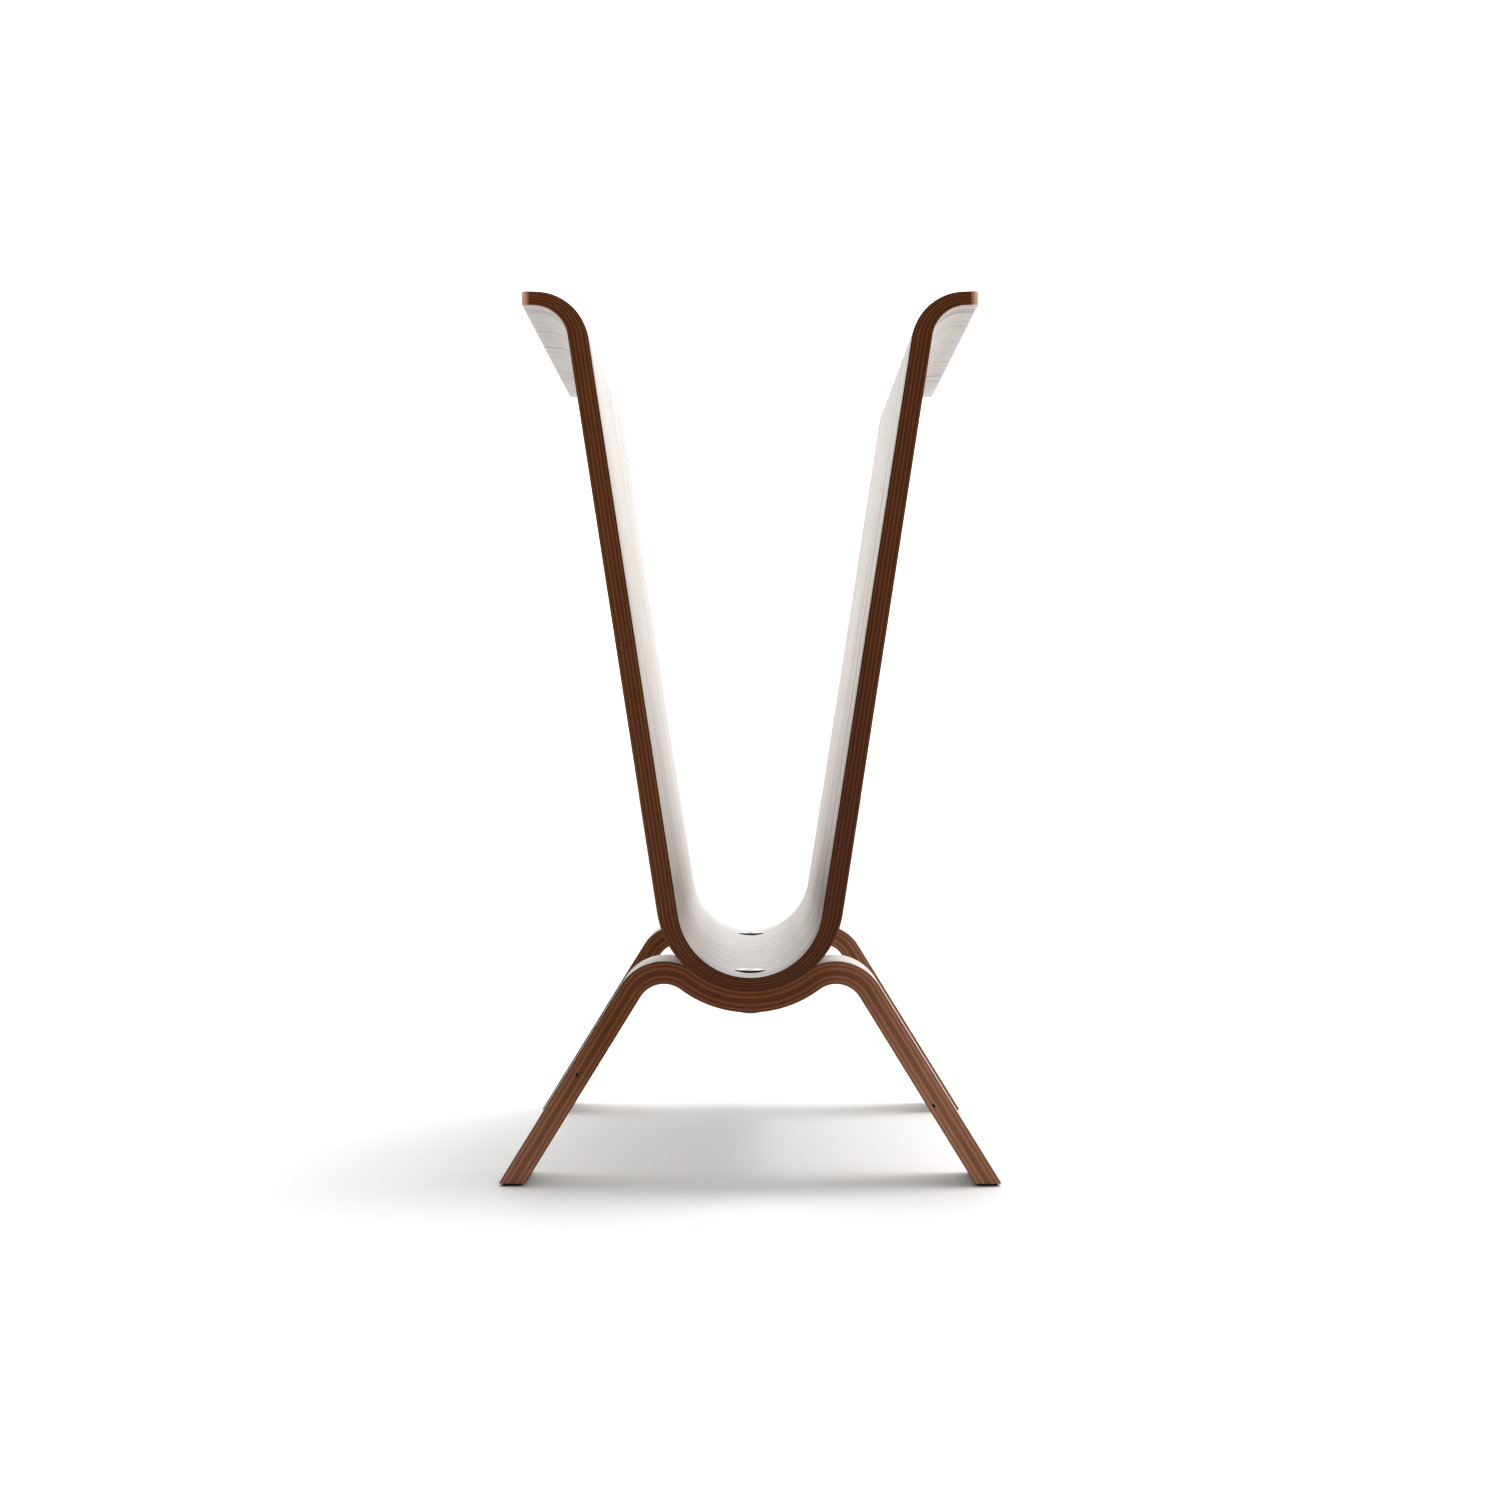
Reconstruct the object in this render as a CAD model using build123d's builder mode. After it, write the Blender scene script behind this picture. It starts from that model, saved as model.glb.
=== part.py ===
from build123d import *

import os
from math import cos, radians, sin, tan

# A magazine rack of moulded plywood: a V-shaped holder shell with outward lips, carried in the
# saddles of two bent leg bows. Millimetres; X across, Y along the holder (front at -Y), Z up,
# origin on the floor under the middle of the rack.

# Holder shell. Its section is a floor arc, two leaning walls, a bend and a nearly level lip.
shell_length = 380.0
wall_lean = 8.8  # degrees from upright
inner_floor_radius = 36.5
inner_floor_height = 106.6  # top of the floor, where the magazines stand
outer_floor_radius = 47.1
outer_floor_height = 99.3  # underside of the floor, which rests in the saddles
inner_bend_radius = 27.0  # follows the inner face of the wall over into the lip's top
outer_bend_radius = 17.5  # follows the outer face of the wall into the lip's underside
lip_reach = 114.3  # from the middle plane to the lip's tip
lip_rise = 2.0  # degrees, the lips turn up a little towards their tips
lip_top = 450.0  # at the tip
lip_underside = 443.1
lip_corner_radius = 3.0  # the sheet's four corners, seen from above

# Leg bows. Each is one bent strip: saddle, two shoulders and two splayed legs.
bow_thickness = 11.5
bow_width = 50.0
bow_set = 150.0  # from the middle of the rack to the middle of each bow
saddle_half_angle = 36.8  # degrees of saddle each side of the middle
shoulder_radius = 25.5  # top face
leg_slope = 58.3  # degrees from the floor

# Every pressed part is a thick core with a thin face veneer on both sides.
face_veneer = 0.6

# Feet
pad_thickness = 1.5
pad_size = (10.5, 46.0)
pad_corner_radius = 2.0

# Connector bolt and cap nut, one pair through the shell's floor and each saddle
bolt_head_diameter = 15.2
bolt_head_thickness = 1.4
bolt_head_edge = 0.5
bolt_diameter = 6.0
bolt_length = 16.0  # under the head
socket_across_flats = 4.0
socket_depth = 3.0
nut_flange_diameter = 15.0
nut_flange_thickness = 1.85
nut_dome_radius = 20.0
nut_barrel_diameter = 8.0
nut_barrel_length = 10.0
nut_bore_diameter = 6.1
nut_bore_depth = 8.9
nut_socket_depth = 2.0
bolt_hole_diameter = 6.5
barrel_hole_diameter = 8.3
spot_face_diameter = 15.8
spot_face_depth = 0.1  # below the lowest line of the floor
nut_spot_face_depth = 0.6  # above the lowest line of the saddle

bow_places = {"front": -bow_set, "rear": bow_set}
saddle_centre_height = outer_floor_height + outer_floor_radius
saddle_underside = outer_floor_height - bow_thickness
head_seat = inner_floor_height - spot_face_depth
nut_seat = saddle_underside + nut_spot_face_depth
cutter = 40.0  # length of the drills, longer than any wall


def blend(inner, outer, depth):
    return inner + (outer - inner) * depth


def shell_boundary(depth):
    """Half of one laminated surface of the shell, 0 on the inner face and 1 on the outer face."""
    floor_radius = blend(inner_floor_radius, outer_floor_radius, depth)
    floor_height = blend(inner_floor_height, outer_floor_height, depth)
    bend_radius = blend(inner_bend_radius, outer_bend_radius, depth)
    tip = Vector(lip_reach, blend(lip_top, lip_underside, depth))
    floor_centre = Vector(0, floor_height + floor_radius)
    # Both normals point from the inner face to the outer face, square to the wall and to the lip.
    wall_normal = Vector(cos(radians(wall_lean)), -sin(radians(wall_lean)))
    lip_normal = Vector(sin(radians(lip_rise)), -cos(radians(lip_rise)))
    # The bend's centre lies one bend radius outside the wall line and one below the lip line.
    past_wall = wall_normal.dot(floor_centre) + floor_radius + bend_radius
    past_lip = lip_normal.dot(tip) + bend_radius
    turn = wall_normal.X * lip_normal.Y - wall_normal.Y * lip_normal.X
    bend_centre = Vector(
        (past_wall * lip_normal.Y - past_lip * wall_normal.Y) / turn,
        (past_lip * wall_normal.X - past_wall * lip_normal.X) / turn,
    )
    floor = CenterArc(floor_centre, floor_radius, -90, 90 - wall_lean)
    bend = CenterArc(bend_centre, bend_radius, 180 - wall_lean, wall_lean + lip_rise - 90)
    Line(floor @ 1, bend @ 0)
    Line(bend @ 1, tip)
    return floor @ 0, tip


def bow_boundary(drop):
    """Half of one laminated surface of a bow, drop millimetres under its top face."""
    saddle_radius = outer_floor_radius + drop
    centre_distance = outer_floor_radius + shoulder_radius
    saddle_centre = Vector(0, saddle_centre_height)
    toward_shoulder = Vector(sin(radians(saddle_half_angle)), -cos(radians(saddle_half_angle)))
    shoulder_centre = saddle_centre + toward_shoulder * centre_distance
    saddle = CenterArc(saddle_centre, saddle_radius, -90, saddle_half_angle)
    shoulder = CenterArc(
        shoulder_centre,
        shoulder_radius - drop,
        90 + saddle_half_angle,
        -saddle_half_angle - leg_slope,
    )
    leg_top = shoulder @ 1
    leg_run = (leg_top.Y - pad_thickness) / tan(radians(leg_slope))
    foot = Vector(leg_top.X + leg_run, pad_thickness)
    Line(leg_top, foot)
    return saddle @ 0, foot


def layer_sketch(first, second):
    """Close the space between two half boundaries, given as their end points."""
    Line(first[0], second[0])
    Line(first[1], second[1])


def drill_shell():
    """Bolt holes and the flat seats of the bolt heads."""
    with Locations(*[(0, place, head_seat) for place in bow_places.values()]):
        Cylinder(spot_face_diameter / 2, cutter,
                 align=(Align.CENTER, Align.CENTER, Align.MIN), mode=Mode.SUBTRACT)
        Cylinder(bolt_hole_diameter / 2, cutter, mode=Mode.SUBTRACT)


def drill_bow(place):
    """Barrel hole and the flat seat of the cap nut."""
    with Locations((0, place, nut_seat)):
        Cylinder(spot_face_diameter / 2, cutter,
                 align=(Align.CENTER, Align.CENTER, Align.MAX), mode=Mode.SUBTRACT)
        Cylinder(barrel_hole_diameter / 2, cutter, mode=Mode.SUBTRACT)


def shell_layer(start, end):
    """One layer of the shell between two depths, bent and trimmed, with its holes."""
    with BuildPart() as layer:
        with BuildSketch(Plane.XZ):
            with BuildLine():
                near = shell_boundary(start)
                far = shell_boundary(end)
                layer_sketch(near, far)
            make_face()
            mirror(about=Plane.YZ)
        extrude(amount=shell_length / 2, both=True)
        fillet(layer.edges().filter_by(Axis.Z), radius=lip_corner_radius)
        drill_shell()
    return layer


def bow_layer(start, end, place):
    """One layer of a bow between two drops under its top face, standing at place along Y."""
    with BuildPart() as layer:
        with BuildSketch(Plane.XZ.offset(-place)):
            with BuildLine():
                near = bow_boundary(start)
                far = bow_boundary(end)
                layer_sketch(near, far)
            make_face()
            mirror(about=Plane.YZ)
        extrude(amount=bow_width / 2, both=True)
        drill_bow(place)
    return layer


def save(piece, name):
    piece.part.label = name
    export_step(piece.part, f"parts/{name}.step")


os.makedirs("parts", exist_ok=True)

# Holder shell: the shell is thinner in its floor and lips than in its walls, so the veneers are
# a share of the whole thickness, taken where the wall is thickest.
wall_thickness = (saddle_centre_height - inner_floor_height - inner_floor_radius) * -sin(
    radians(wall_lean)
) + outer_floor_radius - inner_floor_radius
veneer_share = face_veneer / wall_thickness
save(shell_layer(0, veneer_share), "shell_inner_veneer")
save(shell_layer(veneer_share, 1 - veneer_share), "shell_core")
save(shell_layer(1 - veneer_share, 1), "shell_outer_veneer")

# Leg bows
for end_name, place in bow_places.items():
    save(bow_layer(0, face_veneer, place), f"{end_name}_bow_top_veneer")
    save(bow_layer(face_veneer, bow_thickness - face_veneer, place), f"{end_name}_bow_core")
    save(bow_layer(bow_thickness - face_veneer, bow_thickness, place),
         f"{end_name}_bow_under_veneer")

# Connector bolts: a flat disc head with a hexagon socket, on a plain shank
for end_name, place in bow_places.items():
    with BuildPart() as bolt:
        with BuildSketch(Plane.XY.offset(head_seat)):
            with Locations((0, place)):
                Circle(bolt_head_diameter / 2)
        extrude(amount=bolt_head_thickness)
        fillet(bolt.edges().group_by(Axis.Z)[-1], radius=bolt_head_edge)
        with BuildSketch(Plane.XY.offset(head_seat)):
            with Locations((0, place)):
                Circle(bolt_diameter / 2)
        extrude(amount=-bolt_length)
        with BuildSketch(Plane.XY.offset(head_seat + bolt_head_thickness)):
            with Locations((0, place)):
                RegularPolygon(socket_across_flats / 2, 6, major_radius=False)
        extrude(amount=-socket_depth, mode=Mode.SUBTRACT)
    save(bolt, f"{end_name}_bolt")

# Cap nuts: a shallow domed flange under the saddle, a barrel up into it and a blind bore
for end_name, place in bow_places.items():
    flange_radius = nut_flange_diameter / 2
    dome_height = nut_dome_radius - (nut_dome_radius**2 - flange_radius**2) ** 0.5
    flange_bottom = nut_seat - nut_flange_thickness
    dome_bottom = flange_bottom - dome_height
    barrel_radius = nut_barrel_diameter / 2
    barrel_top = nut_seat + nut_barrel_length
    bore_radius = nut_bore_diameter / 2
    bore_bottom = barrel_top - nut_bore_depth
    with BuildPart() as nut:
        with BuildSketch(Plane.XZ.offset(-place)):
            with BuildLine():
                RadiusArc((0, dome_bottom), (flange_radius, flange_bottom), -nut_dome_radius)
                Polyline(
                    (flange_radius, flange_bottom),
                    (flange_radius, nut_seat),
                    (barrel_radius, nut_seat),
                    (barrel_radius, barrel_top),
                    (bore_radius, barrel_top),
                    (bore_radius, bore_bottom),
                    (0, bore_bottom),
                    (0, dome_bottom),
                )
            make_face()
        revolve(axis=Axis((0, place, 0), (0, 0, 1)))
        with BuildSketch(Plane.XY.offset(dome_bottom)):
            with Locations((0, place)):
                RegularPolygon(socket_across_flats / 2, 6, major_radius=False)
        extrude(amount=nut_socket_depth, mode=Mode.SUBTRACT)
    save(nut, f"{end_name}_cap_nut")

# Foot pads: thin strips stuck under the four feet
leg_shift = 1 / tan(radians(leg_slope))
shoulder_reach = sin(radians(saddle_half_angle)) * (outer_floor_radius + shoulder_radius)
shoulder_drop = cos(radians(saddle_half_angle)) * (outer_floor_radius + shoulder_radius)
leg_middle_radius = shoulder_radius - bow_thickness / 2
leg_top_x = shoulder_reach + leg_middle_radius * sin(radians(leg_slope))
leg_top_z = saddle_centre_height - shoulder_drop + leg_middle_radius * cos(radians(leg_slope))
foot_middle = leg_top_x + (leg_top_z - pad_thickness) * leg_shift
for end_name, place in bow_places.items():
    for side_name, side in (("left", -1), ("right", 1)):
        with BuildPart() as pad:
            with BuildSketch(Plane.XY):
                with Locations((side * foot_middle, place)):
                    RectangleRounded(*pad_size, pad_corner_radius)
            extrude(amount=pad_thickness)
        save(pad, f"{end_name}_{side_name}_foot_pad")
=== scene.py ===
from math import cos, pi, radians, sin, sqrt, tan

import bmesh
import bpy
from mathutils import Matrix, Vector


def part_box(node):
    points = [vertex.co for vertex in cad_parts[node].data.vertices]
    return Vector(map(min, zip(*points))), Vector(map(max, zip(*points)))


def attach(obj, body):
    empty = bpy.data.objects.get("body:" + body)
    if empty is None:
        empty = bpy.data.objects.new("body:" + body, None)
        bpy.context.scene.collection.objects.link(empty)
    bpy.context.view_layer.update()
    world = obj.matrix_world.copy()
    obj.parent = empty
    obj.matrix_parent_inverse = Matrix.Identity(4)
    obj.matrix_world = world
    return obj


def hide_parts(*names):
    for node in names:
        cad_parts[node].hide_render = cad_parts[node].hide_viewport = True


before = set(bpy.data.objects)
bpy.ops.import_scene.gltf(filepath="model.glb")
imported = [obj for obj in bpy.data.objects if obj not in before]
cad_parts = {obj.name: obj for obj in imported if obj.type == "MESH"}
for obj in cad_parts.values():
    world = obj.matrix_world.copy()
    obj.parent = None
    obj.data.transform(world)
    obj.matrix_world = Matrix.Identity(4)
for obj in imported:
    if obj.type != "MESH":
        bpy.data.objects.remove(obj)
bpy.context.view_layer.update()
print("frame loaded:", len(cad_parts), "nodes")


# small helpers for meshes

sharpAngle = 35  # degrees: a fold beyond this stays crisp under smooth shading


def mix(first, last, share):
    return first + (last - first) * share


def vertsOf(made):
    return [part for part in made if isinstance(part, bmesh.types.BMVert)]


def straightRun(bm, vert, point):
    end = bmesh.ops.extrude_vert_indiv(bm, verts=[vert])["verts"][0]
    bmesh.ops.translate(bm, verts=[end], vec=point - vert.co)
    return end


def roundRun(bm, vert, centre, turn, steps):
    made = bmesh.ops.spin(bm, geom=[vert], cent=centre, axis=(0, 1, 0),
                          angle=radians(turn), steps=steps)
    return vertsOf(made["geom_last"])[0]


def mirrored(point):
    return Vector((-point.x, point.y, point.z))


def addPiece(name, bm, materials, slotName, *nodes):
    mesh = bpy.data.meshes.new(name)
    bm.to_mesh(mesh)
    bm.free()
    mesh.shade_smooth()
    mesh.set_sharp_from_angle(angle=radians(sharpAngle))
    for material in materials:
        mesh.materials.append(material)
    piece = bpy.data.objects.new(name, mesh)
    bpy.context.scene.collection.objects.link(piece)
    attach(piece, "root")
    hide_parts(*nodes)
    return piece


def cutAway(piece, cutterMesh, slotIndex):
    for material in piece.data.materials:
        cutterMesh.materials.append(material)
    for face in cutterMesh.polygons:
        face.material_index = slotIndex
    cutter = bpy.data.objects.new("cutter", cutterMesh)
    bpy.context.scene.collection.objects.link(cutter)
    trim = piece.modifiers.new("trim", "BOOLEAN")
    trim.operation = "DIFFERENCE"
    trim.solver = "EXACT"
    trim.object = cutter
    graph = bpy.context.evaluated_depsgraph_get()
    cutMesh = bpy.data.meshes.new_from_object(piece.evaluated_get(graph), depsgraph=graph)
    piece.modifiers.clear()
    piece.data = cutMesh
    bpy.data.objects.remove(cutter)
    cutMesh.set_sharp_from_angle(angle=radians(sharpAngle))


# small helpers for materials

def startMaterial(name, roughness, metallic=0.0, specular=0.5):
    material = bpy.data.materials.new(name)
    material.use_nodes = True
    shader = material.node_tree.nodes["Principled BSDF"]
    shader.inputs["Roughness"].default_value = roughness
    shader.inputs["Metallic"].default_value = metallic
    shader.inputs["Specular IOR Level"].default_value = specular
    return material, material.node_tree, shader


def addNode(tree, kind, inputs=None, **settings):
    node = tree.nodes.new(kind)
    for key, value in settings.items():
        setattr(node, key, value)
    for key, value in (inputs or {}).items():
        if isinstance(value, bpy.types.NodeSocket):
            tree.links.new(value, node.inputs[key])
        else:
            node.inputs[key].default_value = value
    return node


def scaledUv(tree, scale, shift=(0, 0, 0)):
    uv = addNode(tree, "ShaderNodeUVMap", uv_map="sheet")
    mapping = addNode(tree, "ShaderNodeMapping",
                      {"Vector": uv.outputs["UV"], "Scale": scale, "Location": shift})
    return mapping.outputs["Vector"]


def noiseOf(tree, vector, scale=1.0, detail=3.0, roughness=0.55, distortion=0.0):
    noise = addNode(tree, "ShaderNodeTexNoise",
                    {"Vector": vector, "Scale": scale, "Detail": detail,
                     "Roughness": roughness, "Distortion": distortion})
    return noise.outputs["Fac"]


def remap(tree, value, low, high, toLow=0.0, toHigh=1.0):
    node = addNode(tree, "ShaderNodeMapRange",
                   {"Value": value, "From Min": low, "From Max": high,
                    "To Min": toLow, "To Max": toHigh})
    return node.outputs["Result"]


def math2(tree, operation, first, second):
    return addNode(tree, "ShaderNodeMath", {0: first, 1: second},
                   operation=operation).outputs[0]


def absOf(tree, value):
    return math2(tree, "ABSOLUTE", value, 0.0)


def blendColour(tree, factor, first, second, how="MIX"):
    node = addNode(tree, "ShaderNodeMix", {0: factor, 6: first, 7: second},
                   data_type="RGBA", blend_type=how)
    return node.outputs[2]


def layOver(tree, mask, share, colour, tone):
    return blendColour(tree, math2(tree, "MULTIPLY", mask, share), colour, tone)


def addBump(tree, shader, height, strength, distance):
    bump = addNode(tree, "ShaderNodeBump",
                   {"Height": height, "Strength": strength, "Distance": distance})
    tree.links.new(bump.outputs["Normal"], shader.inputs["Normal"])


def rampOf(tree, value, stops, smooth="LINEAR"):
    node = addNode(tree, "ShaderNodeValToRGB", {"Fac": value})
    ramp = node.color_ramp
    ramp.interpolation = smooth
    while len(ramp.elements) < len(stops):
        ramp.elements.new(1.0)
    for element, (place, tone) in zip(ramp.elements, stops):
        element.position = place
        element.color = (tone, tone, tone, 1)
    return node.outputs["Color"]


def objectPlace(tree):
    return addNode(tree, "ShaderNodeTexCoord").outputs["Object"]


def objectNoise(tree, scale, detail=3.0):
    return noiseOf(tree, objectPlace(tree), scale=scale, detail=detail)


def sheetGrain(tree, scale, shift, span, **noise):
    return remap(tree, noiseOf(tree, scaledUv(tree, scale, shift), **noise), *span)


def acrossAndAlong(tree):
    axes = addNode(tree, "ShaderNodeSeparateXYZ", {"Vector": objectPlace(tree)})
    return axes.outputs["X"], axes.outputs["Y"]


woodRelief = {"strength": 0.25, "distance": 0.00012}  # how deep the grain of every wood is


# white-washed face veneer: grain runs along the bend, which is U of the sheet map

washedVeneer = {
    "wash": (0.735, 0.695, 0.655, 1),
    "bareWood": (0.20, 0.135, 0.098, 1),
    "shadow": (0.46, 0.41, 0.375, 1),
    "scuffAndShadeTone": (0.29, 0.275, 0.265, 1),
    "fineGrain": (9, 620, 1),  # noise cells per metre along and across the grain
    "streaks": (3.4, 110, 1),
    "bands": (2.0, 34, 1),
    "patches": (3.4, 5, 1),
    "figure": (3.2, 34, 1),
    "pores": (70, 1500, 1),
    "rubMarks": (22, 240, 1),
    "fineRange": (0.36, 0.66),  # noise values from none of a pattern to all of it
    "streakRange": (0.50, 0.70),
    "bandRange": (0.50, 0.66),
    "patchRange": (0.42, 0.62),
    "figureRange": (0.62, 1.0),
    "poreRange": (0.64, 0.74),
    "rubRange": (0.38, 0.56),
    "fineShare": 0.30,  # how much of a pattern shows through the wash
    "figureShare": 0.30,
    "bandShare": 0.45,
    "poreShare": 0.32,
    "scuffAndShadeTo": (0.024, 0.040),  # the pocket's floor is scuffed and darkened with painted shade, out to here
    "mottleScale": 85,
    "mottleRange": (0.35, 0.65, 0.75, 1.0),
    "wornAndShadedBend": (0.029, 0.0375, 0.0435),  # papers rub the wash off where the walls begin, and painted shade darkens this crease
    "rubAndShadeTone": (0.130, 0.080, 0.055, 1),
    "rubAndShadeSides": (0.62, 1.15),  # how far the left and right walls are rubbed; the heavier right side is painted shade
    "rubAndShadeMiddle": (-0.02, 0.02),  # where one side's share passes into the other's
    "rubbedAndShadedEnd": (-0.11, 0.11),  # mostly near the front end, where the extra darkening is painted shade
    "rubAndShadeElsewhere": 0.12,
    "wear": (0.18, 0.75),
    "endWear": (0.11, 0.19, 1.6),  # hands wear both ends of the sheet more than its middle
    "roughness": (0.46, 0.64),
    "fineRelief": 0.6,
}


def makeVeneer(name, look, wearAndShade, shift):
    material, tree, shader = startMaterial(name, 0.55, specular=0.36)
    fine = sheetGrain(tree, look["fineGrain"], shift, look["fineRange"], detail=4)
    streaks = sheetGrain(tree, look["streaks"], shift, look["streakRange"], detail=5,
                         roughness=0.62, distortion=0.25)
    bands = sheetGrain(tree, look["bands"], shift, look["bandRange"], detail=3)
    patches = sheetGrain(tree, look["patches"], shift, look["patchRange"], detail=2)
    pores = sheetGrain(tree, look["pores"], shift, look["poreRange"], detail=1)
    figureVector = scaledUv(tree, look["figure"], shift)
    wave = addNode(tree, "ShaderNodeTexWave",
                   {"Vector": figureVector, "Scale": 0.55, "Distortion": 7.5, "Detail": 2.5,
                    "Detail Scale": 0.7, "Detail Roughness": 0.5},
                   wave_type="BANDS", bands_direction="Y", wave_profile="SAW")
    figure = remap(tree, wave.outputs["Fac"], *look["figureRange"])
    toned = layOver(tree, fine, look["fineShare"], look["wash"], look["shadow"])
    toned = layOver(tree, figure, look["figureShare"], toned, look["shadow"])
    toned = layOver(tree, bands, look["bandShare"], toned, look["shadow"])
    across, lengthwise = acrossAndAlong(tree)
    endFrom, endTo, endWear = look["endWear"]
    atEnds = remap(tree, absOf(tree, lengthwise), endFrom, endTo, 1.0, endWear)
    worn = math2(tree, "MULTIPLY", streaks, remap(tree, patches, 0, 1, *look["wear"]))
    worn = math2(tree, "MINIMUM", math2(tree, "MULTIPLY", worn, atEnds), 1.0)
    toned = blendColour(tree, worn, toned, look["bareWood"])
    toned = layOver(tree, pores, look["poreShare"], toned, look["bareWood"])
    fromMiddle = absOf(tree, across)
    mottle = remap(tree, objectNoise(tree, look["mottleScale"], 4), *look["mottleRange"])
    # scuffs and painted shade darken the pocket's floor
    scuffedAndShaded = remap(tree, fromMiddle, *look["scuffAndShadeTo"], wearAndShade, 0.0)
    toned = layOver(tree, mottle, scuffedAndShaded, toned, look["scuffAndShadeTone"])
    # rub marks at the bend, with painted shade heavier on the right wall and near the front end
    bendStart, bendMost, bendEnd = look["wornAndShadedBend"]
    rubbedAndShaded = math2(tree, "MINIMUM", remap(tree, fromMiddle, bendStart, bendMost),
                   remap(tree, fromMiddle, bendMost, bendEnd, 1.0, 0.0))
    rubMarks = sheetGrain(tree, look["rubMarks"], shift, look["rubRange"], detail=4)
    rubAndShadeSide = remap(tree, across, *look["rubAndShadeMiddle"], *look["rubAndShadeSides"])
    rubAndShadeAtEnd = remap(tree, lengthwise, *look["rubbedAndShadedEnd"], 1.0, look["rubAndShadeElsewhere"])
    rubbedAndShaded = math2(tree, "MULTIPLY", math2(tree, "MULTIPLY", rubbedAndShaded, rubMarks), wearAndShade)
    toned = layOver(tree, rubbedAndShaded, math2(tree, "MULTIPLY", rubAndShadeSide, rubAndShadeAtEnd), toned,
                    look["rubAndShadeTone"])
    tree.links.new(toned, shader.inputs["Base Color"])
    rough = remap(tree, math2(tree, "MAXIMUM", fine, streaks), 0, 1, *look["roughness"])
    tree.links.new(rough, shader.inputs["Roughness"])
    height = math2(tree, "ADD", math2(tree, "MULTIPLY", fine, look["fineRelief"]), pores)
    addBump(tree, shader, math2(tree, "SUBTRACT", 1.0, height), **woodRelief)
    return material


# cut ply edges: V of the sheet map runs from the inner or top face (0) to the other (1)

holderEdge = {
    "light": (0.178, 0.0595, 0.0148, 1),
    "dark": (0.066, 0.0138, 0.0015, 1),
    "glue": (0.026, 0.005, 0.001, 1),
    "darkeningTone": (0.70, 0.57, 0.47, 1),
    "tip": (0.70, 0.37, 0.235, 1),  # painted highlight, where the lips' corners round off
    "tipDark": (0.58, 0.29, 0.175, 1),
    "tipFrom": (0.1103, 0.1128),  # distance from the middle plane
    "tipCorner": (0.1850, 0.1885, 0.18),  # distance along the sheet, and how pale the rest is
    "plies": [(0.0, 0.05), (0.045, 0.0), (0.12, 0.75), (0.22, 0.05), (0.32, 0.85), (0.42, 0.0),
              (0.52, 0.80), (0.625, 0.05), (0.72, 0.85), (0.825, 0.0), (0.915, 0.75), (1.0, 0.3)],
    "contrast": 0.95,
    "darkeningTo": (0.034, 0.062),  # darker across the middle bend, up to here
    "darkening": 1.0,
    "darkeningMiddle": 0.013,  # the darkening reaches further up the right wall
    "darkSide": 0.35,
    "palerSide": 0.0,
    "roughness": (0.42, 0.30),
}
bowEdge = {
    "light": (0.225, 0.077, 0.026, 1),
    "dark": (0.101, 0.0265, 0.005, 1),
    "glue": (0.045, 0.011, 0.002, 1),
    "darkeningTone": (0.86, 0.80, 0.72, 1),
    "tip": (0.53, 0.260, 0.152, 1),  # the legs grow paler towards the feet
    "tipDark": (0.275, 0.120, 0.066, 1),
    "tipFrom": (0.075, 0.150),
    "tipCorner": (0.0, 0.01, 1.0),
    "plies": [(0.0, 0.1), (0.035, 0.0), (0.12, 0.95), (0.22, 0.1), (0.33, 0.85), (0.43, 0.0),
              (0.57, 0.0), (0.67, 0.85), (0.78, 0.1), (0.88, 0.95), (0.965, 0.0), (1.0, 0.1)],
    "contrast": 0.95,
    "darkeningTo": (0.010, 0.085),
    "darkening": 0.7,
    "darkeningMiddle": 0.0,
    "darkSide": 0.0,
    "palerSide": 0.62,  # the right half of each strip is paler
    "roughness": (0.46, 0.34),
}
plyGrain = {
    "waver": (26, 3, 1),  # noise cells per metre along the edge, and through the sheet
    "streak": (60, 34, 1),
    "dash": (190, 46, 1),
    "speckle": (900, 26, 1),
    "broad": (7, 2, 1),
    "waverRange": (0.3, 0.7, -0.012, 0.012),
    "streakRange": (0.32, 0.68, -0.20, 0.24),
    "dashRange": (0.56, 0.70, 0.0, 0.35),
    "speckleRange": (0.34, 0.72),
    "broadRange": (0.3, 0.7, -0.12, 0.14),
    "pitShare": 0.45,
    "glueLine": (0.0, 0.06, 0.7, 0.0),  # under the face veneer
    "paleFrom": (0.03, 0.09),  # from the middle plane, where the paler side sets in
    "darkFrom": (0.02, 0.06),
    "plyRelief": 0.5,
    "speckleRelief": -0.35,
}


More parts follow.
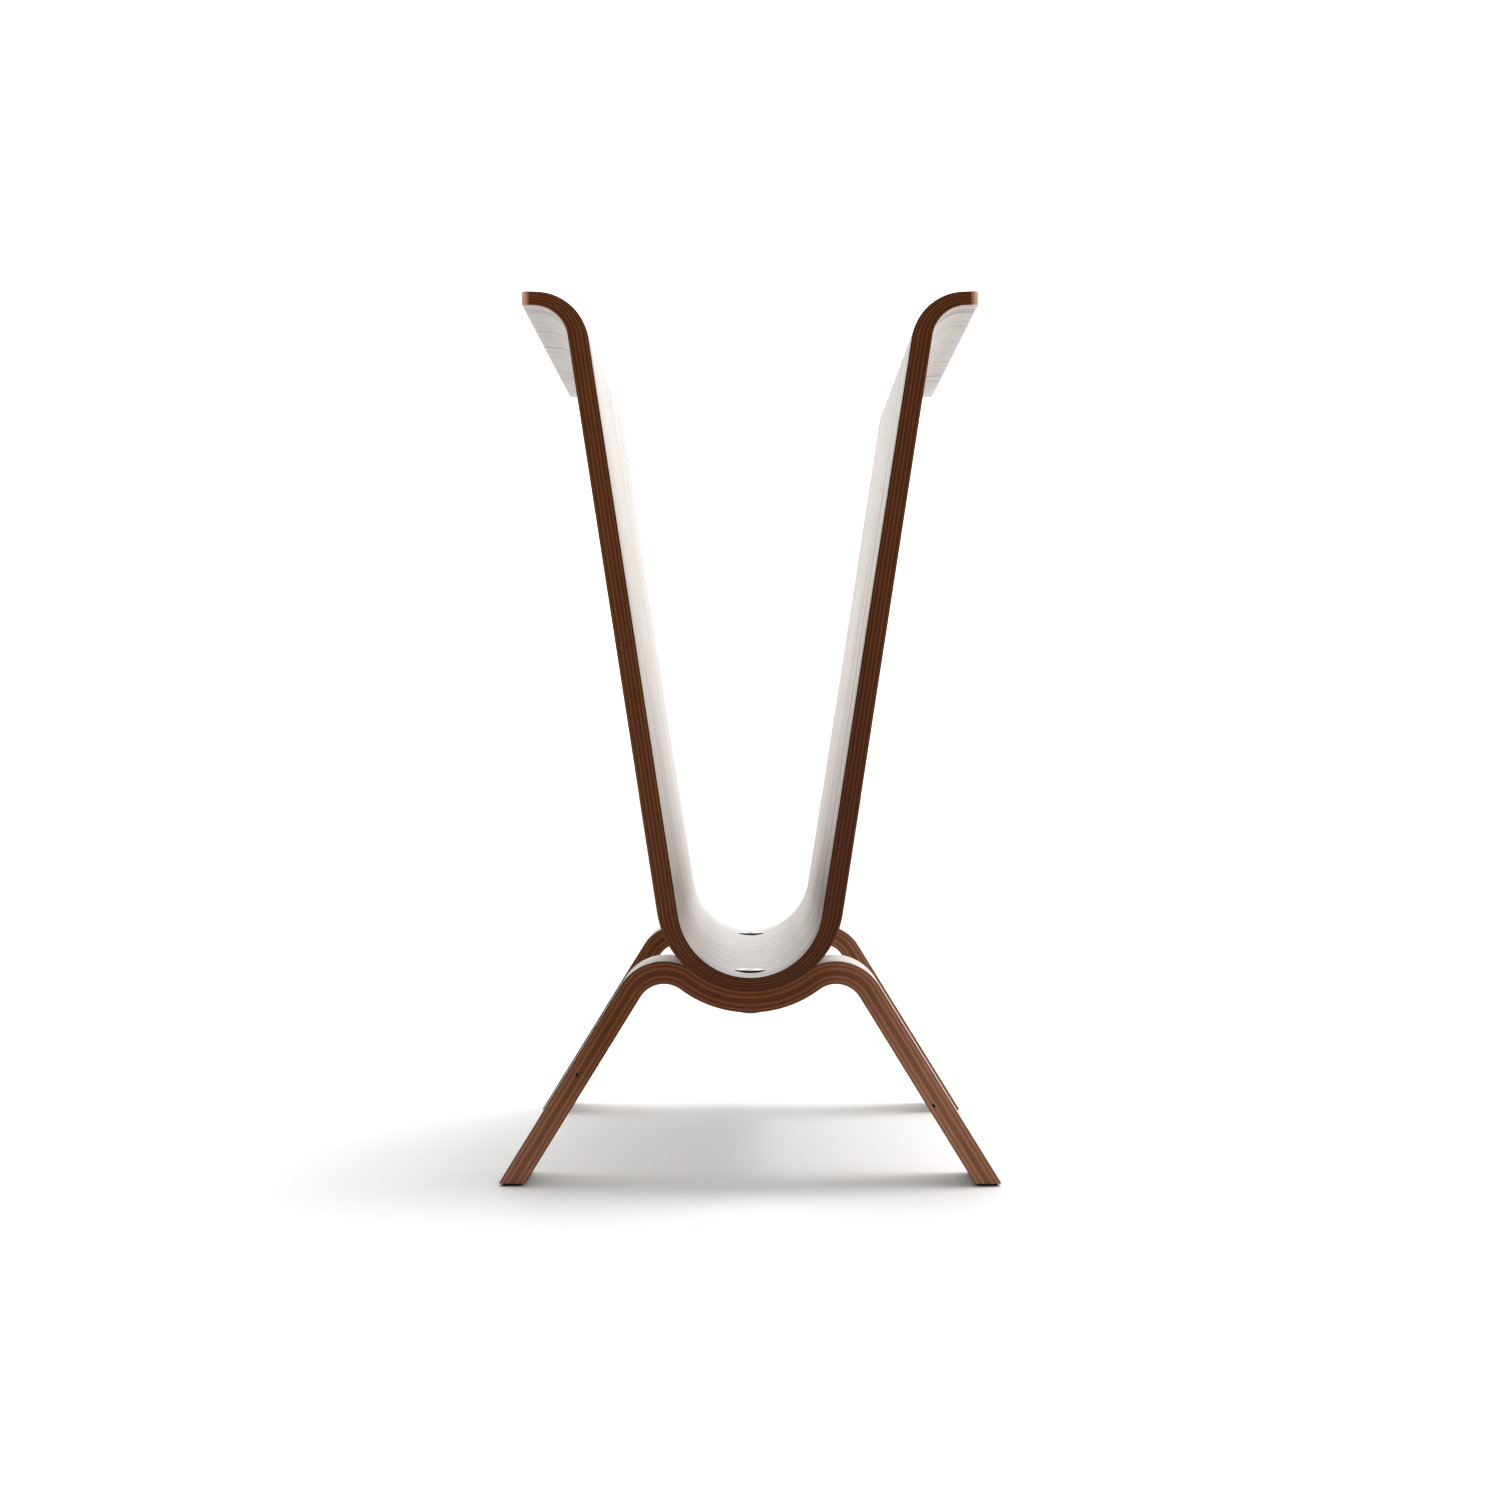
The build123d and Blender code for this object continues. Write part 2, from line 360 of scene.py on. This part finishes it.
def makePlyEdge(name, look, shift):
    material, tree, shader = startMaterial(name, 0.4, specular=0.14)
    uv = addNode(tree, "ShaderNodeUVMap", uv_map="sheet")
    split = addNode(tree, "ShaderNodeSeparateXYZ", {"Vector": uv.outputs["UV"]})
    grain = plyGrain
    waver = sheetGrain(tree, grain["waver"], shift, grain["waverRange"], detail=3)
    depth = math2(tree, "ADD", split.outputs["Y"], waver)
    ply = rampOf(tree, depth, look["plies"], "EASE")
    # long-grain plies carry streaks, the darker cross plies show speckled end grain
    streak = sheetGrain(tree, grain["streak"], shift, grain["streakRange"], detail=5,
                        roughness=0.7)
    dash = sheetGrain(tree, grain["dash"], shift, grain["dashRange"], detail=3)
    speckle = sheetGrain(tree, grain["speckle"], shift, grain["speckleRange"], detail=2)
    broad = sheetGrain(tree, grain["broad"], shift, grain["broadRange"], detail=2)
    tone = math2(tree, "MULTIPLY", ply, look["contrast"])
    for part in (streak, dash, broad):
        tone = math2(tree, "ADD", tone, part)
    colour = blendColour(tree, tone, look["dark"], look["light"])
    pits = math2(tree, "MULTIPLY", speckle, math2(tree, "SUBTRACT", 1.0, ply))
    colour = layOver(tree, pits, grain["pitShare"], colour, look["glue"])
    glueLine = remap(tree, depth, *grain["glueLine"])
    colour = blendColour(tree, glueLine, colour, look["glue"])
    across, lengthwise = acrossAndAlong(tree)
    fromMiddle = absOf(tree, across)
    fromDarkening = absOf(tree, math2(tree, "SUBTRACT", across, look["darkeningMiddle"]))
    darkened = math2(tree, "MAXIMUM", remap(tree, fromDarkening, *look["darkeningTo"], look["darkening"], 0.0),
                    remap(tree, across, *grain["darkFrom"], 0.0, look["darkSide"]))
    colour = blendColour(tree, darkened, colour, look["darkeningTone"], "MULTIPLY")
    # painted highlight on the holder's rounded lip corners; on the bows, the legs grow paler
    # towards the feet
    cornerFrom, cornerTo, elsewhere = look["tipCorner"]
    corner = remap(tree, absOf(tree, lengthwise), cornerFrom, cornerTo, elsewhere)
    pale = math2(tree, "MULTIPLY", remap(tree, fromMiddle, *look["tipFrom"]), corner)
    pale = math2(tree, "MAXIMUM", pale,
                 remap(tree, across, *grain["paleFrom"], 0.0, look["palerSide"]))
    paleWoodAndHighlight = blendColour(tree, tone, look["tipDark"], look["tip"])
    colour = blendColour(tree, pale, colour, paleWoodAndHighlight)
    tree.links.new(colour, shader.inputs["Base Color"])
    tree.links.new(remap(tree, ply, 0, 1, *look["roughness"]), shader.inputs["Roughness"])
    height = math2(tree, "ADD", math2(tree, "MULTIPLY", ply, grain["plyRelief"]),
                   math2(tree, "MULTIPLY", speckle, grain["speckleRelief"]))
    addBump(tree, shader, height, **woodRelief)
    return material


# one veneer in two copies: the inside's lighter wash is painted light, the outside's darker wash
# is painted shade
litInsideVeneer = {**washedVeneer, "streakRange": (0.48, 0.69), "wear": (0.30, 0.95)}
shadedOutsideVeneer = {**washedVeneer, "wash": (0.545, 0.515, 0.492, 1)}
bowVeneer = {**washedVeneer, "wash": (0.67, 0.635, 0.60, 1)}
veneerOf = {
    "inside": makeVeneer("washed veneer inside the holder, painted light", litInsideVeneer, 0.9, (0.0, 0.0, 0.0)),
    "outside": makeVeneer("washed veneer outside the holder, painted shade", shadedOutsideVeneer, 0.0, (5.3, 0.4, 0.0)),
    "bow": makeVeneer("washed veneer of the bows", bowVeneer, 0.0, (3.1, 1.7, 0.0)),
}
edgeOf = {
    "holder": makePlyEdge("dark ply edge", holderEdge, (0.0, 0.0, 0.0)),
    "bow": makePlyEdge("walnut ply edge", bowEdge, (2.3, 0.0, 0.0)),
}


# the near-black colour inside the small ply voids is painted shade
gapPaintedShade = {
    "colour": (0.010, 0.005, 0.003, 1),
    "fibre": (0.040, 0.016, 0.008, 1),
    "fibreScale": 1400,
    "fibreRange": (0.45, 0.70),
}


def makeGapShade(name, look):
    material, tree, shader = startMaterial(name, 0.9, specular=0.05)
    fibres = remap(tree, objectNoise(tree, look["fibreScale"], 2), *look["fibreRange"])
    tree.links.new(blendColour(tree, fibres, look["colour"], look["fibre"]),
                   shader.inputs["Base Color"])
    addBump(tree, shader, fibres, strength=0.5, distance=0.0002)
    return material


plyGapShade = makeGapShade("painted shade in the gaps between plies", gapPaintedShade)
print("wood materials made")


# bent sheets: two laminated surfaces are drawn, stretched along Y and joined round their rims

sheet = {
    "cornerSteps": 6,
    "arrisSteps": 2,
    "arrisReach": 1e-4,  # share of the thickness within which an edge belongs to a face
    "loopsAside": 0.0095,  # from each hole's middle
    "holeSides": 48,
}


def measureChain(bm, first, along, depthLayer, depth):
    step, came, run = first, None, 0.0
    while step:
        step[along] = run
        step[depthLayer] = depth
        onward = [e for e in step.link_edges if e is not came]
        if not onward:
            break
        came = onward[0]
        run += came.calc_length()
        step = came.other_vert(step)
    return run


def bentLayer(drawLine, depths, span, holes, cornerRadius=0.0, arris=0.0, arrisDepths=()):
    bm = bmesh.new()
    along = bm.verts.layers.float.new("along")
    depthLayer = bm.verts.layers.float.new("depth")
    near, far = span
    for depth in depths:
        known = set(bm.verts)
        first = drawLine(bm, depth)
        run = measureChain(bm, first, along, depthLayer, depth)
        for vert in bm.verts:
            if vert not in known:
                vert[along] -= run / 2
                vert.co.y = near
        chain = [e for e in bm.edges if e.verts[0] not in known]
        grown = bmesh.ops.extrude_edge_only(bm, edges=chain)["geom"]
        bmesh.ops.translate(bm, verts=vertsOf(grown), vec=(0, far - near, 0))
    if cornerRadius:
        corners = [v for v in bm.verts if len(v.link_edges) == 2]
        reach = max(v.co.x for v in corners)
        made = bmesh.ops.bevel(bm, geom=corners, offset=cornerRadius, offset_type="OFFSET",
                               segments=sheet["cornerSteps"], profile=0.5,
                               affect="VERTICES", material=-1)
        for vert in made["verts"]:
            inward = reach - abs(vert.co.x)
            vert[along] -= inward if vert.co.x > 0 else -inward
    rims = [e for e in bm.edges if e.is_boundary]
    band = bmesh.ops.bridge_loops(bm, edges=rims)["faces"]
    for face in band:
        face.material_index = 1
    bmesh.ops.recalc_face_normals(bm, faces=bm.faces)
    if arris:
        sharp = [e for e in rims if all(abs(v[depthLayer] - d) < sheet["arrisReach"]
                                        for v in e.verts for d in arrisDepths)]
        eased = bmesh.ops.bevel(bm, geom=sharp, offset=arris, offset_type="OFFSET",
                                segments=sheet["arrisSteps"], profile=0.5, affect="EDGES",
                                material=-1)
        for face in eased["faces"]:
            face.material_index = 1  # the wash is sanded off the arrises
    for place in holes:  # loops beside each hole keep the shading of the long faces even
        for aside in (-sheet["loopsAside"], sheet["loopsAside"]):
            bmesh.ops.bisect_plane(bm, geom=bm.verts[:] + bm.edges[:] + bm.faces[:],
                                   plane_co=(0, place + aside, 0), plane_no=(0, 1, 0))
    sheetMap = bm.loops.layers.uv.new("sheet")
    for face in bm.faces:
        for loop in face.loops:
            vert = loop.vert
            if face.material_index:
                loop[sheetMap].uv = (vert[along] + vert.co.y, vert[depthLayer])
            else:
                loop[sheetMap].uv = (vert[along], vert.co.y)
    return bm


def roundCutter(places, radius, low, high, surfaces=(1, 0), sides=sheet["holeSides"]):
    bm = bmesh.new()
    for place in places:
        bmesh.ops.create_cone(bm, cap_ends=True, segments=sides, radius1=radius, radius2=radius,
                              depth=high - low,
                              matrix=Matrix.Translation((0, place, (low + high) / 2)))
    sheetMap = bm.loops.layers.uv.new("sheet")
    top, bottom = surfaces  # of the sheet that is drilled, so that its plies show in the hole
    for face in bm.faces:
        for loop in face.loops:
            depth = (top - loop.vert.co.z) / (top - bottom)
            loop[sheetMap].uv = (loop.vert.co.x + loop.vert.co.y, depth)
    mesh = bpy.data.meshes.new("cutter")
    bm.to_mesh(mesh)
    bm.free()
    return mesh


# holder shell

holder = {
    "wallLean": 8.8,  # degrees from upright
    "floorRadius": (0.0365, 0.0471),  # inner face, outer face
    "floorThickness": 0.0073,
    "bendRadius": (0.027, 0.0175),
    "lipRise": 2.0,  # degrees
    "lipThickness": 0.0069,
    "cornerRadius": 0.003,
    "veneerShare": 0.0594,  # of the whole thickness
    "arris": 0.00035,
    "floorSteps": 44,
    "bendSteps": 22,
    "headSeat": (0.0079, 0.1065),  # radius and height of the flat under each bolt head
    "boltHole": 0.00325,
    "drilled": (0.09, 0.12),  # heights that the drill passes through
    "seatOpen": 0.13,  # height up to which the flat's cutter clears the floor
}

holderLow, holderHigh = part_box("shell_core")
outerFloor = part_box("shell_outer_veneer")[0].z
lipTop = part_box("shell_inner_veneer")[1].z
bowPlaces = {end: sum(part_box(end + "_bow_core"), Vector()).y / 2 for end in ("front", "rear")}


def drawHolderLine(bm, depth):
    lean, rise = radians(holder["wallLean"]), radians(holder["lipRise"])
    floorRadius = mix(*holder["floorRadius"], depth)
    floorHeight = outerFloor + holder["floorThickness"] * (1 - depth)
    bendRadius = mix(*holder["bendRadius"], depth)
    tip = Vector((holderHigh.x, 0, lipTop - holder["lipThickness"] * depth))
    floorCentre = Vector((0, 0, floorHeight + floorRadius))
    wallOut = Vector((cos(lean), 0, -sin(lean)))
    lipDown = Vector((sin(rise), 0, -cos(rise)))
    pastWall = wallOut.dot(floorCentre) + floorRadius + bendRadius
    pastLip = lipDown.dot(tip) + bendRadius
    turn = wallOut.x * lipDown.z - wallOut.z * lipDown.x
    bendCentre = Vector(((pastWall * lipDown.z - pastLip * wallOut.z) / turn, 0,
                         (pastLip * wallOut.x - pastWall * lipDown.x) / turn))
    bendTurn = 90 - holder["wallLean"] - holder["lipRise"]
    first = bm.verts.new(mirrored(tip))
    vert = straightRun(bm, first, mirrored(bendCentre - lipDown * bendRadius))
    vert = roundRun(bm, vert, mirrored(bendCentre), bendTurn, holder["bendSteps"])
    vert = straightRun(bm, vert, mirrored(floorCentre + wallOut * floorRadius))
    vert = roundRun(bm, vert, floorCentre, 2 * holder["wallLean"] - 180, holder["floorSteps"])
    vert = straightRun(bm, vert, bendCentre - wallOut * bendRadius)
    vert = roundRun(bm, vert, bendCentre, bendTurn, holder["bendSteps"])
    straightRun(bm, vert, tip)
    return first


def buildHolder():
    share = holder["veneerShare"]
    span = (holderLow.y, holderHigh.y)
    places = bowPlaces.values()
    surfaces = (outerFloor + holder["floorThickness"], outerFloor)
    seatRadius, seatHeight = holder["headSeat"]
    layers = [("holderInnerVeneer", "shell_inner_veneer", (0, share), (0,), "face_veneer"),
              ("holderCore", "shell_core", (share, 1 - share), (), "shell_plies"),
              ("holderOuterVeneer", "shell_outer_veneer", (1 - share, 1), (1,), "face_veneer")]
    for name, node, depths, worn, slotName in layers:
        bm = bentLayer(drawHolderLine, depths, span, places, holder["cornerRadius"],
                       holder["arris"] if worn else 0, worn)
        veneer = veneerOf["outside" if worn == (1,) else "inside"]
        piece = addPiece(name, bm, [veneer, edgeOf["holder"]], slotName, node)
        cutAway(piece, roundCutter(places, holder["boltHole"], *holder["drilled"], surfaces), 1)
        if name != "holderOuterVeneer":
            seat = roundCutter(places, seatRadius, seatHeight, holder["seatOpen"], surfaces)
            cutAway(piece, seat, 1)


buildHolder()
print("holder shell built")


# leg bows

bow = {
    "thickness": 0.0115,
    "veneer": 0.0006,
    "saddleHalfAngle": 36.8,  # degrees
    "shoulderRadius": 0.0255,  # top face
    "legSlope": 58.3,  # degrees from the floor
    "arris": 0.0004,
    "saddleSteps": 24,
    "shoulderSteps": 26,
    "barrelHole": 0.00415,
    "drilled": (0.07, 0.12),
    "nutSeat": (0.0079, 0.0884),  # radius and height of the flat over each cap nut
    "gaps": [(-0.0875, 0.0565), (0.0928, 0.0408)],  # small voids in the front bow's plies
    "gapSize": (0.0011, 0.0024, 0.0006),
}


def drawBowLine(bm, depth):
    drop = bow["thickness"] * depth
    saddleRadius = holder["floorRadius"][1]
    saddleCentre = Vector((0, 0, outerFloor + saddleRadius))
    half, slope = radians(bow["saddleHalfAngle"]), radians(bow["legSlope"])
    toShoulder = Vector((sin(half), 0, -cos(half)))
    shoulderCentre = saddleCentre + toShoulder * (saddleRadius + bow["shoulderRadius"])
    radius = bow["shoulderRadius"] - drop
    legTop = shoulderCentre + Vector((sin(slope), 0, cos(slope))) * radius
    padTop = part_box("front_left_foot_pad")[1].z
    foot = Vector((legTop.x + (legTop.z - padTop) / tan(slope), 0, padTop))
    shoulderTurn = bow["saddleHalfAngle"] + bow["legSlope"]
    first = bm.verts.new(mirrored(foot))
    vert = straightRun(bm, first, mirrored(legTop))
    vert = roundRun(bm, vert, mirrored(shoulderCentre), shoulderTurn, bow["shoulderSteps"])
    vert = roundRun(bm, vert, saddleCentre, -2 * bow["saddleHalfAngle"], bow["saddleSteps"])
    vert = roundRun(bm, vert, shoulderCentre, shoulderTurn, bow["shoulderSteps"])
    straightRun(bm, vert, foot)
    return first


def gapCutter(place):
    bm = bmesh.new()
    for x, z in bow["gaps"]:
        lean = radians(bow["legSlope"] if x < 0 else -bow["legSlope"])
        shape = Matrix.Diagonal((*bow["gapSize"], 1))
        bmesh.ops.create_icosphere(bm, subdivisions=2, radius=1.0,
                                   matrix=Matrix.Translation((x, place, z))
                                   @ Matrix.Rotation(-lean, 4, "Y") @ shape)
    mesh = bpy.data.meshes.new("gaps")
    bm.to_mesh(mesh)
    bm.free()
    return mesh


def buildBow(end):
    low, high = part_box(end + "_bow_core")
    place = bowPlaces[end]
    share = bow["veneer"] / bow["thickness"]
    surfaces = (outerFloor, outerFloor - bow["thickness"])
    seatRadius, seatHeight = bow["nutSeat"]
    layers = [("BowTopVeneer", "_bow_top_veneer", (0, share), (0,), "face_veneer"),
              ("BowCore", "_bow_core", (share, 1 - share), (), "bow_plies"),
              ("BowUnderVeneer", "_bow_under_veneer", (1 - share, 1), (1,), "face_veneer")]
    for name, node, depths, worn, slotName in layers:
        bm = bentLayer(drawBowLine, depths, (low.y, high.y), [place], 0.0,
                       bow["arris"] if worn else 0, worn)
        piece = addPiece(end + name, bm, [veneerOf["bow"], edgeOf["bow"], plyGapShade], slotName,
                         end + node)
        cutAway(piece, roundCutter([place], bow["barrelHole"], *bow["drilled"], surfaces), 1)
        if name != "BowTopVeneer":
            seat = roundCutter([place], seatRadius, bow["drilled"][0], seatHeight, surfaces)
            cutAway(piece, seat, 1)
        if name == "BowCore" and end == "front":
            cutAway(piece, gapCutter(low.y), 2)


for end in ("front", "rear"):
    buildBow(end)
print("leg bows built")


# metal and rubber

boltFinish = {"colour": (0.045, 0.036, 0.032, 1), "roughness": (0.20, 0.36)}
nutFinish = {"colour": (0.050, 0.030, 0.023, 1), "roughness": (0.36, 0.55)}
rubber = {"colour": (0.026, 0.019, 0.015, 1), "dust": (0.090, 0.066, 0.052, 1)}
surfaceGrain = {
    "smudge": 260,  # noise cells per metre
    "smudgeRange": (0.35, 0.68),
    "plating": 1900,
    "dust": 180,
    "dustRange": (0.48, 0.75),
    "rubber": 2600,
}


def makeMetal(name, look):
    material, tree, shader = startMaterial(name, 0.25, metallic=1.0)
    shader.inputs["Base Color"].default_value = look["colour"]
    smudge = remap(tree, objectNoise(tree, surfaceGrain["smudge"]), *surfaceGrain["smudgeRange"],
                   *look["roughness"])
    tree.links.new(smudge, shader.inputs["Roughness"])
    plating = objectNoise(tree, surfaceGrain["plating"], 2)
    addBump(tree, shader, plating, strength=0.08, distance=0.00005)
    return material


def makeRubber(name, look):
    material, tree, shader = startMaterial(name, 0.8, specular=0.25)
    dust = remap(tree, objectNoise(tree, surfaceGrain["dust"], 4), *surfaceGrain["dustRange"])
    tree.links.new(blendColour(tree, dust, look["colour"], look["dust"]),
                   shader.inputs["Base Color"])
    skin = objectNoise(tree, surfaceGrain["rubber"], 2)
    addBump(tree, shader, skin, strength=0.4, distance=0.0001)
    return material


boltMetal = makeMetal("black nickel", boltFinish)
nutMetal = makeMetal("brushed black nickel", nutFinish)
padRubber = makeRubber("black rubber", rubber)


# connector bolts and cap nuts

bolt = {
    "shank": 0.003,
    "headEdge": 0.00025,
    "edgeSteps": 5,
    "dome": 0.0001,
    "crown": (0.55, 0.25),  # share of the radius, and of the dome's fall, at its flat middle
    "socket": 0.004,  # across flats
    "socketDepth": 0.003,
    "headThickness": 0.0014,
    "tipChamfer": 0.0006,
    "turns": 64,
}
nut = {
    "flangeThickness": 0.00185,
    "barrel": 0.004,
    "barrelLength": 0.010,
    "bore": 0.00305,
    "boreDepth": 0.0089,
    "domeRadius": 0.020,
    "domeReach": 0.96,  # share of the flange's radius
    "domeSteps": 8,
    "chamfer": 0.0004,
    "socket": 0.004,
    "socketDepth": 0.002,
    "turns": 64,
}
socketOpen = 0.002  # how far a socket's cutter stands out of the metal


def turned(points, place, steps):
    bm = bmesh.new()
    vert = bm.verts.new((points[0][0], place, points[0][1]))
    for x, z in points[1:]:
        vert = straightRun(bm, vert, Vector((x, place, z)))
    bmesh.ops.spin(bm, geom=bm.verts[:] + bm.edges[:], cent=(0, place, 0), axis=(0, 0, 1),
                   angle=2 * pi, steps=steps, use_merge=True)
    bmesh.ops.remove_doubles(bm, verts=bm.verts, dist=1e-6)
    bmesh.ops.recalc_face_normals(bm, faces=bm.faces)
    return bm


def hexCutter(place, acrossFlats, low, high):
    return roundCutter([place], acrossFlats / 2 / cos(pi / 6), low, high, sides=6)


def buildBolt(end):
    place = bowPlaces[end]
    low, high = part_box(end + "_bolt")
    headRadius = (high.x - low.x) / 2
    seat = high.z - bolt["headThickness"]
    edge, dome, edgeSteps = bolt["headEdge"], bolt["dome"], bolt["edgeSteps"]
    rim = []
    for step in range(edgeSteps, -1, -1):
        angle = step * pi / 2 / edgeSteps
        rim.append((headRadius - edge * (1 - sin(angle)), high.z - dome - edge * (1 - cos(angle))))
    crownReach, crownFall = bolt["crown"]
    points = [(0, low.z), (bolt["shank"] - bolt["tipChamfer"], low.z),
              (bolt["shank"], low.z + bolt["tipChamfer"]), (bolt["shank"], seat),
              (headRadius, seat), *rim,
              (headRadius * crownReach, high.z - dome * crownFall), (0, high.z)]
    bm = turned(points, place, bolt["turns"])
    piece = addPiece(end + "Bolt", bm, [boltMetal], "bolt_metal", end + "_bolt")
    socketBottom = high.z - bolt["socketDepth"]
    cutAway(piece, hexCutter(place, bolt["socket"], socketBottom, high.z + socketOpen), 0)


def buildNut(end):
    place = bowPlaces[end]
    low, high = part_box(end + "_cap_nut")
    radius = (high.x - low.x) / 2
    seat = high.z - nut["barrelLength"]
    flangeBottom = seat - nut["flangeThickness"]
    domeRadius, chamfer, barrel = nut["domeRadius"], nut["chamfer"], nut["barrel"]
    dome = []
    for step in range(nut["domeSteps"]):
        x = radius * nut["domeReach"] * step / (nut["domeSteps"] - 1)
        dome.append((x, low.z + domeRadius - sqrt(domeRadius ** 2 - x * x)))
    boreEnd = high.z - nut["boreDepth"]
    points = [*dome, (radius, flangeBottom + chamfer), (radius, seat), (barrel, seat),
              (barrel, high.z - chamfer), (barrel - chamfer, high.z),
              (nut["bore"], high.z), (nut["bore"], boreEnd), (0, boreEnd)]
    bm = turned(points, place, nut["turns"])
    piece = addPiece(end + "CapNut", bm, [nutMetal], "nut_metal", end + "_cap_nut")
    socketTop = low.z + nut["socketDepth"]
    cutAway(piece, hexCutter(place, nut["socket"], low.z - socketOpen, socketTop), 0)


for end in ("front", "rear"):
    buildBolt(end)
    buildNut(end)
print("fasteners built")


# foot pads

pad = {"corner": 0.002, "cornerSteps": 6, "edge": 0.0003, "edgeSteps": 2}


def buildPad(name, node):
    low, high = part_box(node)
    bm = bmesh.new()
    middle = (low + high) / 2
    size = Matrix.Diagonal((high.x - low.x, high.y - low.y, 1, 1))
    bmesh.ops.create_grid(bm, x_segments=1, y_segments=1, size=0.5,
                          matrix=Matrix.Translation((middle.x, middle.y, low.z)) @ size)
    bmesh.ops.bevel(bm, geom=bm.verts[:], offset=pad["corner"], segments=pad["cornerSteps"],
                    profile=0.5, affect="VERTICES", material=-1)
    grown = bmesh.ops.extrude_face_region(bm, geom=bm.faces[:])["geom"]
    bmesh.ops.translate(bm, verts=vertsOf(grown), vec=(0, 0, high.z - low.z))
    flat = [f for f in bm.faces if abs(f.normal.z) > 0.9]
    bmesh.ops.bevel(bm, geom=list({e for f in flat for e in f.edges}), offset=pad["edge"],
                    segments=pad["edgeSteps"], profile=0.5, affect="EDGES", material=-1)
    bmesh.ops.recalc_face_normals(bm, faces=bm.faces)
    addPiece(name, bm, [padRubber], "pad_rubber", node)


for end in ("front", "rear"):
    for side in ("Left", "Right"):
        buildPad(end + side + "Pad", end + "_" + side.lower() + "_foot_pad")
print("foot pads built")


# floor, light and camera

studio = {
    "floorSize": 24.0,
    "floorColour": (0.74, 0.735, 0.73, 1),
    "brightSide": (0.42, 0.91, 0),  # direction of the room's brightest wall
    "darkFrom": -0.9,  # cosine of the angle to it past which the room is darkest
    "roomDark": 0.25,  # strength opposite to it, then square to it, then on it
    "roomMiddle": 0.72,
    "roomBright": 2.15,
    # the spread is in degrees
    "sun": {"place": (0.18, 0.32, 1.6), "target": (0, 0, 0), "power": 2.1, "spread": 36},
    "glow": {"place": (0.05, 1.0, 0.55), "target": (0, 0.19, 0.26), "power": 1.6, "size": 0.7},
}
eye = {"place": (0.0025, -1.630, 0.2205), "target": (0.0, -0.190, 0.2205), "lens": 69.15,
       "sensor": 36.0}


def buildFloor():
    bm = bmesh.new()
    bmesh.ops.create_grid(bm, x_segments=1, y_segments=1, size=studio["floorSize"] / 2)
    mesh = bpy.data.meshes.new("floor")
    bm.to_mesh(mesh)
    bm.free()
    floor = bpy.data.objects.new("floor", mesh)
    bpy.context.scene.collection.objects.link(floor)
    material, tree, shader = startMaterial("pale floor", 0.7, specular=0.1)
    shader.inputs["Base Color"].default_value = studio["floorColour"]
    floor.data.materials.append(material)


def aimAt(item, target):
    aim = Vector(target) - item.location
    item.rotation_euler = aim.to_track_quat("-Z", "Y").to_euler()


def addLight(name, kind, look):
    light = bpy.data.lights.new(name, kind)
    light.energy = look["power"]
    item = bpy.data.objects.new(name, light)
    bpy.context.scene.collection.objects.link(item)
    item.location = look["place"]
    aimAt(item, look["target"])
    return item


def lightStage():
    world = bpy.data.worlds.new("studio")
    bpy.context.scene.world = world
    world.use_nodes = True
    tree = world.node_tree
    background = tree.nodes["Background"]
    direction = addNode(tree, "ShaderNodeTexCoord").outputs["Generated"]
    facing = addNode(tree, "ShaderNodeVectorMath", {0: direction, 1: studio["brightSide"]},
                     operation="DOT_PRODUCT").outputs["Value"]
    dark, middle, bright = studio["roomDark"], studio["roomMiddle"], studio["roomBright"]
    room = math2(tree, "ADD", remap(tree, facing, studio["darkFrom"], 0.0, dark, middle),
                 remap(tree, facing, 0.0, 1.0, 0.0, bright - middle))
    seen = addNode(tree, "ShaderNodeLightPath").outputs["Is Camera Ray"]
    tree.links.new(math2(tree, "MAXIMUM", room, seen), background.inputs["Strength"])
    background.inputs["Color"].default_value = (1, 1, 1, 1)
    sun = addLight("sun", "SUN", studio["sun"])
    sun.data.angle = radians(studio["sun"]["spread"])
    glow = addLight("glow", "AREA", studio["glow"])  # a soft panel behind the rear end
    glow.data.size = studio["glow"]["size"]
    glow.visible_camera = False


def placeCamera():
    camera = bpy.data.cameras.new("camera")
    camera.lens = eye["lens"]
    camera.sensor_width = eye["sensor"]
    item = bpy.data.objects.new("camera", camera)
    bpy.context.scene.collection.objects.link(item)
    item.location = eye["place"]
    aimAt(item, eye["target"])
    bpy.context.scene.camera = item


buildFloor()
lightStage()
placeCamera()
bpy.context.scene.view_settings.view_transform = "Standard"
print("stage ready")
